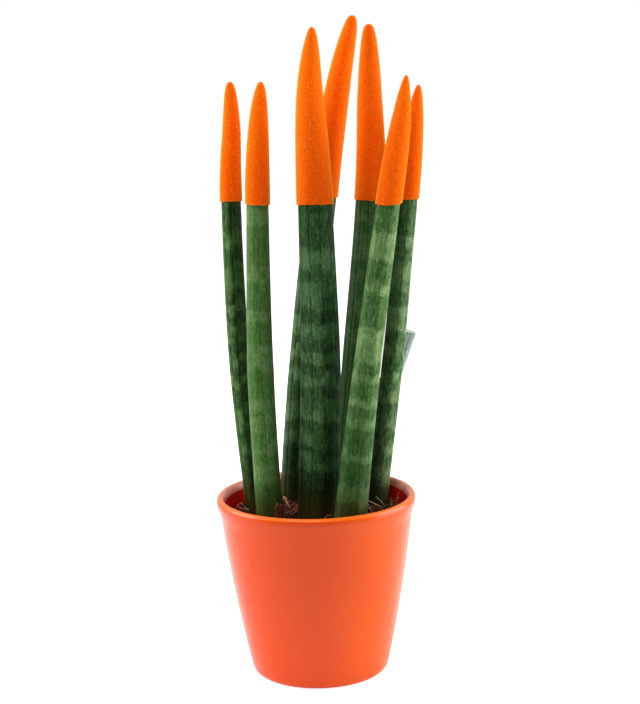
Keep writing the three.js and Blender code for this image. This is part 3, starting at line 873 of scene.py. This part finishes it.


def build_flock(leaf, material):
    """A coat of flock over the tip: a grainy outside, a rounded lower edge and a plain inside."""
    number = number_of(leaf)
    random = np.random.default_rng(FLOCK_SEED + number)
    line = leaf_line(leaf)
    cuff = line.at_height(CUFF_HEIGHT)
    outside = COAT_GAP + COAT_THICKNESS
    lift, slope_x, slope_y = leaf["edge"]
    sides = int(TURN * (line.radius(cuff) + outside) / FLOCK_STEP)
    angles = turns(sides)
    places, travelled = line.outline(cuff, line.end, COAT_SAMPLES)

    def levelled(rings, lengths):
        """The rings slid along the leaf, so that the lowest lie in the plane of the edge."""
        direction = line.frame(lengths)[2][:, None]
        aside = rings - line.centre(lengths)[:, None]
        rise = lift + slope_x * aside[..., 0] + slope_y * aside[..., 1] - aside[..., 2]
        fade = 1 - smoothstep(lengths - cuff, 0, EDGE_REACH)
        return rings + direction * (fade[:, None] * rise / direction[..., 2])[..., None]

    def stops(step):
        count = int(travelled[-1] / step)
        return np.interp(np.linspace(0, travelled[-1], count + 1)[:-1], travelled, places)

    def rings_at(lengths, grow):
        """Rings moved out square to the tip's surface, and their directions outwards."""
        half = 0.2
        low, high = lengths - half, np.minimum(lengths + half, line.end)
        narrowing = line.radius(low) - line.radius(high)
        run = high - low
        slant = np.hypot(run, narrowing)
        reach = (line.radius(lengths) + grow * run / slant)[:, None]
        across, forward, direction = line.frame(lengths)
        centres = line.centre(lengths) + direction * (grow * narrowing / slant)[:, None]
        outward = spokes(angles, across, forward)
        return levelled(centres[:, None] + outward * reach[..., None], lengths), outward

    inner, _ = rings_at(stops(HIDDEN_STEP)[::-1], COAT_GAP)

    outer_stops = stops(FLOCK_STEP)[1:]
    outer, outward = rings_at(outer_stops, outside)
    grain = random.uniform(-1, 1, outer.shape[:2])
    lumps = lattice_noise(outer.reshape(-1, 3) / LUMP_SIZE, seed=LUMP_SEED + number)
    lumps = lumps.reshape(grain.shape)
    fade = smoothstep(line.radius(outer_stops), *PILE_RADII)[:, None]
    pile = (FLOCK_GRAIN * grain + FLOCK_LUMPS * lumps) * (PILE_LEAST + (1 - PILE_LEAST) * fade)
    outer = outer + outward * pile[..., None]

    edge = []
    waver = lattice_noise(circle(angles) * WAVER_TURNS, seed=number) * EDGE_WAVER
    for height, inset in EDGE_ROUND:
        ring = rings_at(np.array([cuff + height]), outside - inset)[0][0]
        ring[:, 2] += waver + random.uniform(-EDGE_RAGGED, EDGE_RAGGED, sides)
        edge.append(ring)

    # the rings at the inside run downwards and the outer ones upwards
    tip, direction = line.tip()
    rings = np.concatenate([inner, edge, outer])
    points, faces = lofted(rings, tip + direction * COAT_GAP, tip + direction * outside)
    # painted shade: some coats darker at the lower edge or near the tip
    low, high = COAT_SHADES.get(leaf["name"], (1, 1))
    tone = low + (high - low) * smoothstep(points[:, 2], CUFF_HEIGHT, leaf["apex"][2] - SHADE_END)
    mesh = make_mesh(f"flock_{number}", points, faces, {"tone": tone})
    add_piece(f"flock_{number}", mesh, material, f"velvet_{number}")


# ---- pot

def taper_radius(height):
    share = height / POT["neck_height"]
    return POT["foot_radius"] + (POT["neck_radius"] - POT["foot_radius"]) * share


def pot_outer_radius(height):
    share = height / POT["neck_height"]
    return taper_radius(height) + POT["bulge"] * 4 * share * (1 - share)


def pot_inner_radius(height):
    return taper_radius(height) - POT["wall"]


def curve_points(start, bend, end, steps):
    """Points of a quadratic curve, without its first."""
    share = (np.arange(steps) + 1)[:, None] / steps
    start, bend, end = (np.array(p, float) for p in (start, bend, end))
    return (1 - share) ** 2 * start + 2 * share * (1 - share) * bend + share ** 2 * end


def straight_points(start, end, steps):
    share = (np.arange(steps) + 1)[:, None] / steps
    return np.array(start, float) + share * (np.array(end, float) - np.array(start, float))


LIP_END = 122.8  # where the round lip runs into the wall inside
MIDDLE = 8  # radius of the flat fans that close the underside and the floor


def pot_outline():
    """Radius and height, from the middle of the underside round the rim to the middle inside."""
    fillet = POT["foot_fillet"]
    foot_edge = (POT["foot_radius"] - fillet, 0)
    wall_start = (pot_outer_radius(fillet), fillet)
    neck = (POT["neck_radius"], POT["neck_height"])
    widest = (POT["rim_radius"], POT["rim_height"])
    crest = (POT["crest_radius"], POT["height"])
    lip = (pot_inner_radius(LIP_END), LIP_END)
    inner_neck = (pot_inner_radius(POT["neck_height"]), POT["neck_height"])
    inner_foot = (pot_inner_radius(POT["floor"]), POT["floor"])
    heights = np.linspace(fillet, POT["neck_height"], 46)[1:]
    return np.vstack([
        straight_points((MIDDLE, 0), foot_edge, 8),
        curve_points(foot_edge, (POT["foot_radius"], 0), wall_start, 12),
        np.stack([pot_outer_radius(heights), heights], axis=1),
        curve_points(neck, POT["rim_flare"], widest, 14),
        curve_points(widest, (POT["rim_radius"], POT["height"]), crest, 12),
        curve_points(crest, (POT["lip_radius"], POT["height"]), lip, 14),
        straight_points(lip, inner_neck, 6),
        straight_points(inner_neck, inner_foot, 12),
        straight_points(inner_foot, (MIDDLE, POT["floor"]), 5),
    ])


UNROUND = 0.05  # thrown ware is never quite round


def build_pot():
    outline = pot_outline()
    height = outline[:, 1:]
    angles = turns(POT_SIDES)
    uneven = np.sin(2 * angles + height / 61 + 0.6) + 0.5 * np.sin(3 * angles - height / 43 + 2)
    radius = outline[:, :1] + UNROUND * uneven * smoothstep(height, 0, 6)
    rings = np.concatenate([
        circle(angles)[None] * radius[..., None],
        np.repeat(height[:, None], POT_SIDES, axis=1),
    ], axis=2)
    mesh = make_mesh("pot_glaze", *lofted(rings, (0, 0, 0), (0, 0, POT["floor"])))
    add_piece("pot_glaze", mesh, glaze_material(), "pot")


# ---- soil

BED_GAP = 0.15
BED_EDGE = 0.3  # the top stays so much further from the wall
HOLE_SIDES = 28
HOLE_STOPS = (-10, 0, 8)  # places along the leaf where its hole has rings, besides the buried end
WALL_CLEARANCE = 0.6
CRUMB_NOISES = ((0.9, 4.2, 61), (0.55, 1.9, 62), (0.3, 0.95, 63))  # height, size and seed
CRUMB_COUNT, CHIP_COUNT = 1500, 46
CRUMB_SMALLEST, CRUMB_RANGE, CRUMB_RARITY = 0.45, 1.25, 2.4
CRUMB_SQUEEZE = (0.65, 1.1)
CRUMB_CORNERS = (0.72, 1.2)  # how far its corners lie out
CRUMB_CLEARANCE = 0.9  # from the leaves, as a share of the size
CRUMB_LIFT = 0.15  # how far the middle lies above the bed, as a share of the size
CHIP_SIZES, CHIP_WIDTHS, CHIP_THICKNESS = (1.8, 3.6), (0.45, 0.7), 0.28
CRUMB_TIP, CHIP_TIP = 0.8, 0.3
CRUMB_TONES, CHIP_TONES = (0, 0.75), (0.35, 1.0)
FIBRE_RADII, FIBRE_CLEARANCE, FIBRE_TRIES = (0.11, 0.27), 0.4, 30
FIBRE_SIDES, FIBRE_STEPS, FIBRE_LENGTHS = 5, 13, (8, 30)
FIBRE_CURL, FIBRE_SWERVE, FIBRE_SWERVES = 1.3, 0.5, 1.3
FIBRE_LEAST_LIFT = 0.15  # as a share of the rise of its patch
FIBRE_SUNK, FIBRE_CLIMB = 0.6, 0.9  # its ends under the surface, and its rise besides its lift
FIBRE_RIPPLE, FIBRE_RIPPLES = 0.35, (9, 16)
FREE_SHARE, FREE_RISE = 0.3, 1.3  # of fibres with one end in the air, and how late it rises
FIBRE_THINNING, STRAND_THINNING = 0.55, 0.5  # a fibre's to both ends, and a strand's to its last
STRAND_SIDES, STRAND_STEPS = 7, 16
STRAND_WOBBLE, STRAND_WAVES = 0.12, (11, 9, 13)
STRAND_END = 0.08  # the share over which its ends are rounded
STRAND_UNEVEN = (0.85, 1.1)
# Patches of fibres: centre, reach, number, highest rise, and tones from dark red-brown (0) to pale
# (1).
FIBRE_PATCHES = [
    ((0, 0), 58, 110, 2.2, (0.0, 0.35)),
    ((-20, 6), 9, 30, 5, (0.0, 0.22)),
    ((-54, 14), 7, 5, 1.5, (0.0, 0.25)),
    ((-46, -30), 9, 10, 2.5, (0.0, 0.35)),
    ((48, -2), 10, 16, 3, (0.0, 0.4)),
    ((55, 12), 7, 8, 3, (0.2, 1.0)),
]
# Single strands that stand out: the thickest radius, the tone, and the places along each as its X,
# its Y, which is one number where it stays the same, and its Z.
STRANDS = [
    (1.05, 0.6, (-22.8, -21.5, -20.1, -18.6, -18), 8, (124, 120.6, 117.7, 114.7, 112)),
    (0.42, 0.4, (-20.3, -16.5, -12.6, -12, -12.4), 4, (121.8, 120.5, 118.1, 115, 112)),
    (0.35, 0.25, (-12.2, -12, -12.4, -12.7), 3, (121.7, 118.8, 115.2, 112)),
    (0.6, 0.1, (-28.2, -28, -28, -27.8), (-31.4, -31, -31, -31), (127.2, 124, 118, 112)),
    (0.7, 0.16, (-26.8, -27.1, -27, -26.8), (-31, -30.6, -30.6, -30.6), (130, 125, 118, 112)),
    (0.7, 0.04, (-25.6, -25.9, -25.9, -25.9), (-30.4, -30, -30, -30), (128.2, 124, 118, 112)),
    (0.6, 0.12, (-24.3, -24.8, -24.8, -24.9), (-28.6, -28.8, -29, -29), (128.8, 124, 118, 112)),
    (0.6, 0.0, (-23.2, -23.7, -23.8, -23.8), -27, (125.6, 122, 117, 112)),
    (0.5, 0.08, (-22.2, -22.6, -22.6, -22.6), (-24.8, -25, -25, -25), (124.4, 121, 116, 112)),
    (0.32, 0.5, (-21.6, -19.4, -17.9, -15), -4, (111.8, 113.8, 115.8, 118.7)),
    (0.3, 0.45, (-16.7, -17.9, -19.9), -6, (111.5, 115.7, 118.3)),
    (0.3, 0.55, (-13.7, -15.9, -18.8), -2, (116, 114.2, 113)),
    (0.26, 0.95, (-59, -55.9, -53.3), 16, (112, 116.5, 118)),
    (0.3, 1.0, (-53.3, -51.2, -49, -47.5), (16, 16, 17, 18), (118, 114.9, 113.9, 113)),
    (0.3, 0.9, (-50.7, -49.3, -47.3), 8, (116.4, 114.9, 111.5)),
    (0.28, 0.8, (-56.5, -52, -48.5, -45), (19, 13, 9, 6), (114.8, 114.6, 115.2, 113)),
    (0.28, 0.4, (1.7, 5.8, 9, 11.3), -46, (119, 123, 124.7, 124.2)),
    (0.4, 1.0, (33.6, 39.3, 44.2, 46, 46.6), 4.9, (122.1, 118.6, 116, 114, 112)),
    (0.3, 0.95, (35.6, 36.6, 38.2, 38.4), -1.6, (121.2, 118.7, 114, 112)),
    (0.26, 1.0, (42.3, 45.1, 48.5, 49.2), 8, (122.1, 119.1, 115, 112.5)),
    (0.3, 1.0, (53.2, 52.4, 52), 16, (112.4, 116.3, 118.3)),
    (0.28, 0.95, (53.5, 53.7, 53.6), 16, (112.4, 117.8, 119.6)),
    (0.3, 1.0, (53.8, 54.6, 55.3), 16, (112.4, 116.3, 117)),
    (0.26, 0.6, (55.2, 57.1, 59.1), 16, (112, 118.4, 122.8)),
    (0.26, 0.9, (56.4, 57.7, 59.2), 14, (112, 117.8, 119.6)),
]


def soil_height(x, y):
    share = np.hypot(x, y) / pot_inner_radius(SOIL_LEVEL)
    lumps = np.sin(x * 0.21 + 1) * np.cos(y * 0.17) + 0.6 * np.sin(x * 0.43 + y * 0.37)
    return SOIL_LEVEL + SOIL_RELIEF * lumps - SOIL_EDGE_DIP * share ** 6


def crumbly_height(x, y):
    places = np.stack([np.ravel(x), np.ravel(y)], axis=1)
    crumbs = sum(rise * lattice_noise(places / size, seed) for rise, size, seed in CRUMB_NOISES)
    return soil_height(x, y) + crumbs.reshape(np.shape(x))


def build_bed(lines):
    edge = pot_inner_radius(SOIL_LEVEL) - BED_GAP - BED_EDGE
    around = circle(turns(BED_SIDES))

    def ring(radius, height):
        return np.column_stack([around * radius, np.full(BED_SIDES, height)])

    base = POT["floor"] + BED_GAP
    shoulder = SOIL_LEVEL - 2 * SOIL_EDGE_DIP
    rings = [ring(pot_inner_radius(height) - BED_GAP, height) for height in (base, shoulder)]
    for share in np.arange(BED_RINGS, 0, -1) / BED_RINGS:
        top = ring(edge * share, 0)
        top[:, 2] = crumbly_height(top[:, 0], top[:, 1])
        rings.append(top)
    middle = (0, 0, crumbly_height(0.0, 0.0))
    mesh = make_mesh("soil_bed", *lofted(rings, (0, 0, base), middle))
    bed = add_piece("soil_bed", mesh, soil_material(), "soil")
    bed.data = with_holes(bed, lines)


def with_holes(bed, lines):
    """The bed's mesh with a plain hole for each leaf."""
    cutters = []
    for number, line in enumerate(lines):
        lengths = np.array([line.start - BED_GAP, *HOLE_STOPS])
        across, forward, _ = line.frame(lengths)
        centres = line.centre(lengths)
        centres[0, 2] -= BED_GAP
        reach = (line.radius(lengths) + BED_GAP)[:, None, None]
        rings = centres[:, None] + spokes(turns(HOLE_SIDES), across, forward) * reach
        mesh = make_mesh(f"hole_{number}", *lofted(rings, centres[0], centres[-1]))
        cutter = add_object(f"hole_{number}", mesh)
        cutters.append(cutter)
        modifier = bed.modifiers.new(cutter.name, "BOOLEAN")
        modifier.operation = "DIFFERENCE"
        modifier.solver = "MANIFOLD"
        modifier.object = cutter
    graph = bpy.context.evaluated_depsgraph_get()
    holed = bpy.data.meshes.new_from_object(bed.evaluated_get(graph), depsgraph=graph)
    bed.modifiers.clear()
    for cutter in cutters:
        bpy.data.objects.remove(cutter)
    return holed


def clear_of_leaves(points, lines, margin):
    """True for points (count, 3) that lie outside every leaf by that margin."""
    clear = np.ones(len(points), bool)
    for line in lines:
        lengths = np.interp(points[:, 2], line.centres[:, 2], line.length)
        away = np.linalg.norm((line.centre(lengths) - points)[:, :2], axis=1)
        clear &= away > line.radius(lengths) + margin
    return clear


def icosahedron():
    golden = (1 + 5 ** 0.5) / 2
    points = []
    for a in (-1, 1):
        for b in (-golden, golden):
            points += [(0, a, b), (a, b, 0), (b, 0, a)]
    points = np.array(points, float)
    points /= np.linalg.norm(points[0])
    near = np.linalg.norm(points[:, None] - points[None], axis=2) < 1.2
    faces = []
    for a, b, c in itertools.combinations(range(len(points)), 3):
        if near[a, b] and near[b, c] and near[a, c]:
            normal = np.cross(points[b] - points[a], points[c] - points[a])
            faces.append((a, b, c) if normal @ points[a] > 0 else (a, c, b))
    return points, np.array(faces)


def scatter(random, count, reach):
    """Places spread evenly over a disc."""
    angle = random.uniform(0, TURN, count)
    away = np.sqrt(random.uniform(0, 1, count)) * reach
    return circle(angle) * away[:, None]


def build_crumbs(lines, material):
    """Loose crumbs of peat and flat chips of bark, part sunk in the bed."""
    random = np.random.default_rng(CRUMB_SEED)
    shape, faces = icosahedron()
    reach = pot_inner_radius(SOIL_LEVEL)
    all_points, all_faces, tones = [], [], []
    for number, (x, y) in enumerate(scatter(random, CRUMB_COUNT + CHIP_COUNT, reach)):
        chip = number >= CRUMB_COUNT
        if chip:
            size = random.uniform(*CHIP_SIZES)
            squeeze = np.array([1, random.uniform(*CHIP_WIDTHS), CHIP_THICKNESS])
        else:
            size = CRUMB_SMALLEST + CRUMB_RANGE * random.uniform() ** CRUMB_RARITY
            squeeze = random.uniform(*CRUMB_SQUEEZE, 3)
        lump = shape * random.uniform(*CRUMB_CORNERS, (len(shape), 1)) * squeeze * size
        turn, tip = random.uniform(0, TURN), random.normal(0, CHIP_TIP if chip else CRUMB_TIP)
        matrix = Matrix.Rotation(turn, 3, "Z") @ Matrix.Rotation(tip, 3, "X")
        tone = random.uniform(*(CHIP_TONES if chip else CRUMB_TONES))
        place = np.array([x, y, crumbly_height(x, y) + CRUMB_LIFT * size])
        if math.hypot(x, y) > reach - size - WALL_CLEARANCE:
            continue
        if not clear_of_leaves(place[None], lines, size * CRUMB_CLEARANCE)[0]:
            continue
        all_faces.append(faces + len(shape) * len(all_points))
        all_points.append(lump @ np.array(matrix).T + place)
        tones.append(tone)
    mesh = make_mesh("soil_crumbs", np.vstack(all_points), [np.vstack(all_faces)],
                     {"tone": np.repeat(tones, len(shape))}, smooth=False)
    add_piece("soil_crumbs", mesh, material)


def fibre_tube(path, radii, sides):
    """Points and faces of a closed tube along a path."""
    direction = np.gradient(path, axis=0)
    direction /= np.linalg.norm(direction, axis=1)[:, None]
    side = np.cross(direction, [0, 0, 1.0])
    side /= np.maximum(np.linalg.norm(side, axis=1), 1e-6)[:, None]
    up = np.cross(side, direction)
    # seen from the path's end the ring runs anticlockwise
    ring = spokes(turns(sides), up, -side)
    return lofted(path[:, None] + ring * radii[:, None, None], path[0], path[-1])


def fibre_path(random, x, y, rise):
    """A thin strand that wanders over the soil. Most end in it, and some stand free."""
    length = random.uniform(*FIBRE_LENGTHS)
    heading = random.uniform(0, TURN)
    curl = random.normal(0, FIBRE_CURL)
    swerve = random.normal(0, FIBRE_SWERVE)
    share = np.linspace(0, 1, FIBRE_STEPS)
    wave = np.sin(share * TURN * FIBRE_SWERVES + random.uniform(0, TURN))
    turn = heading + curl * share + swerve * wave
    flat = np.cumsum(circle(turn), axis=0) * length / FIBRE_STEPS
    flat = flat - flat.mean(axis=0) + (x, y)
    lift = random.uniform(FIBRE_LEAST_LIFT, 1) * rise
    free = random.uniform() < FREE_SHARE
    arch = share ** FREE_RISE if free else np.sin(share * math.pi)
    height = soil_height(flat[:, 0], flat[:, 1]) - FIBRE_SUNK + (lift + FIBRE_CLIMB) * arch
    ripples = share * random.uniform(*FIBRE_RIPPLES)
    height += FIBRE_RIPPLE * np.sin(ripples + random.uniform(0, TURN))
    return np.column_stack([flat, height])


def build_fibres(lines, material):
    random = np.random.default_rng(FIBRE_SEED)
    wall = pot_inner_radius(SOIL_LEVEL) - WALL_CLEARANCE
    tubes = []
    for centre, reach, left, rise, patch_tones in FIBRE_PATCHES:
        tries = left * FIBRE_TRIES
        while left and tries:
            tries -= 1
            x, y = scatter(random, 1, reach)[0] + centre
            path = fibre_path(random, x, y, rise)
            radius = random.uniform(*FIBRE_RADII)
            tone = random.uniform(*patch_tones)
            inside = np.hypot(path[:, 0], path[:, 1]).max() < wall
            if not inside or not clear_of_leaves(path, lines, FIBRE_CLEARANCE).all():
                continue
            radii = radius * (1 - FIBRE_THINNING * np.linspace(-1, 1, len(path)) ** 2)
            tubes.append((*fibre_tube(path, radii, FIBRE_SIDES), tone))
            left -= 1
    for thickest, tone, *places in STRANDS:
        waypoints = np.stack(np.broadcast_arrays(*places), axis=1)
        path = spline(waypoints, np.linspace(0, len(waypoints) - 1, STRAND_STEPS))
        share = np.linspace(0, 1, len(path))
        swing = np.sin(share[:, None] * STRAND_WAVES + random.uniform(0, TURN, 3))
        path = path + STRAND_WOBBLE * swing
        ends = smoothstep(np.minimum(share, 1 - share), -STRAND_END, STRAND_END)
        radii = thickest * (1 - STRAND_THINNING * share) * ends
        radii = radii * random.uniform(*STRAND_UNEVEN, len(path))
        tubes.append((*fibre_tube(path, radii, STRAND_SIDES), tone))

    points, faces, tones = zip(*tubes)
    counts = [len(p) for p in points]
    starts = np.cumsum([0, *counts])
    joined = [np.vstack([f + s for f, s in zip(kind, starts)]) for kind in zip(*faces)]
    mesh = make_mesh("coir_fibres", np.vstack(points), joined, {"tone": np.repeat(tones, counts)})
    add_piece("coir_fibres", mesh, material)


# ---- stage, lights and camera

FLOOR_REACH = 6000
FLOOR_GREY = (0.9, 0.9, 0.9, 1)
FLOOR_GLOW = (0.15, 0.75)  # on the plant, and to the camera
WORLD_LIGHT = (0.34, 0.63)  # from the front, and from the back
BACKDROP = 0.2  # more light from the lit backdrop, straight behind the plant
BACKDROP_EDGE = (0.78, 0.9)
# place in metres, width and height in metres, and power in watts
LAMPS = {
    "left": ((-1.2, 0.15, 0.75), (1.0, 1.1), 23.5),
    "right": ((1.3, 0.1, 0.5), (1.1, 1.5), 33),
    "top": ((-0.25, -0.5, 1.35), (0.8, 0.6), 8),
}
LAMP_TARGET = (0, 0, 0.24)


def build_floor():
    g = Graph("floor")
    diffuse = g.add("BsdfDiffuse", {"Color": FLOOR_GREY})
    seen = g.add("LightPath", output="Is Camera Ray")
    glow = g.add("Emission", {"Strength": g.ramp(seen, 0.0, 1.0, *FLOOR_GLOW)})
    corners = np.array([(-1, -1, 0), (1, -1, 0), (1, 1, 0), (-1, 1, 0)], float) * FLOOR_REACH
    mesh = make_mesh("floor", corners, [np.array([[0, 1, 2, 3]])])
    mesh.materials.append(g.close(g.add("AddShader", {0: diffuse, 1: glow})))
    floor = add_object("floor", mesh)


def light_world():
    """White to the camera, and a softer light to the plant, a little stronger from behind it."""
    g = Graph("studio", "worlds")
    bpy.context.scene.world = g.block
    back = g.parts(g.add("TexCoord", output="Generated"))[1]
    level = g.ramp(back, -0.5, 0.5, *WORLD_LIGHT, shape="LINEAR")
    backdrop = g.ramp(back, *BACKDROP_EDGE, 0.0, BACKDROP, shape="LINEAR")
    seen = g.add("LightPath", output="Is Camera Ray")
    sockets = {"Factor": seen, "A": g.math("ADD", level, backdrop), "B": 1.0}
    strength = g.add("Mix", sockets, output="Result")
    sockets = {"Color": (1, 1, 1, 1), "Strength": strength}
    g.close(g.add("Background", sockets), "OutputWorld")


def posed(axes, place):
    """The matrix of three unit axes and a place."""
    rows = [[*row, p] for row, p in zip(np.stack(axes, 1), place)]
    return Matrix(rows + [[0, 0, 0, 1]])


def add_lamp(name, place, size, power):
    """A rectangle of light that faces the plant."""
    data = bpy.data.lights.new(name, "AREA")
    data.shape = "RECTANGLE"
    data.size, data.size_y = size
    data.energy = power
    back = np.array(place, float) - np.array(LAMP_TARGET, float)
    back /= np.linalg.norm(back)
    right = np.cross([0, 0, 1.0], back)
    right /= np.linalg.norm(right)
    add_object(name, data).matrix_world = posed([right, np.cross(back, right), back], place)


CAMERA_PLACE = (0.00552, -1.227, 0.457)
CAMERA_PITCH = math.radians(10.54)
CAMERA_ROLL = math.radians(-1.59)
CAMERA_LENS = 92.15
CAMERA_FILM = 36
CAMERA_CLIP = (0.05, 50)


def add_camera():
    data = bpy.data.cameras.new("camera")
    data.sensor_fit = "VERTICAL"
    data.sensor_height = CAMERA_FILM
    data.lens = CAMERA_LENS
    data.clip_start, data.clip_end = CAMERA_CLIP
    forward = np.array([0, math.cos(CAMERA_PITCH), -math.sin(CAMERA_PITCH)])
    up = np.array([0, math.sin(CAMERA_PITCH), math.cos(CAMERA_PITCH)])
    right = np.array([1.0, 0, 0])
    rolled_right = math.cos(CAMERA_ROLL) * right + math.sin(CAMERA_ROLL) * up
    rolled_up = -math.sin(CAMERA_ROLL) * right + math.cos(CAMERA_ROLL) * up
    camera = add_object("camera", data)
    camera.matrix_world = posed([rolled_right, rolled_up, -forward], CAMERA_PLACE)
    bpy.context.scene.camera = camera


# ---- the plant

lines = [leaf_line(leaf) for leaf in LEAVES] + [stub_line()]
flock = flock_material()
build_pot()
build_bed(lines)
build_crumbs(lines, crumb_material())
build_fibres(lines, coir_material())
for leaf in LEAVES:
    build_leaf(leaf)
    build_flock(leaf, flock)
build_stub()

build_floor()
light_world()
for name, settings in LAMPS.items():
    add_lamp(name, *settings)
add_camera()
bpy.context.scene.view_settings.view_transform = "Standard"
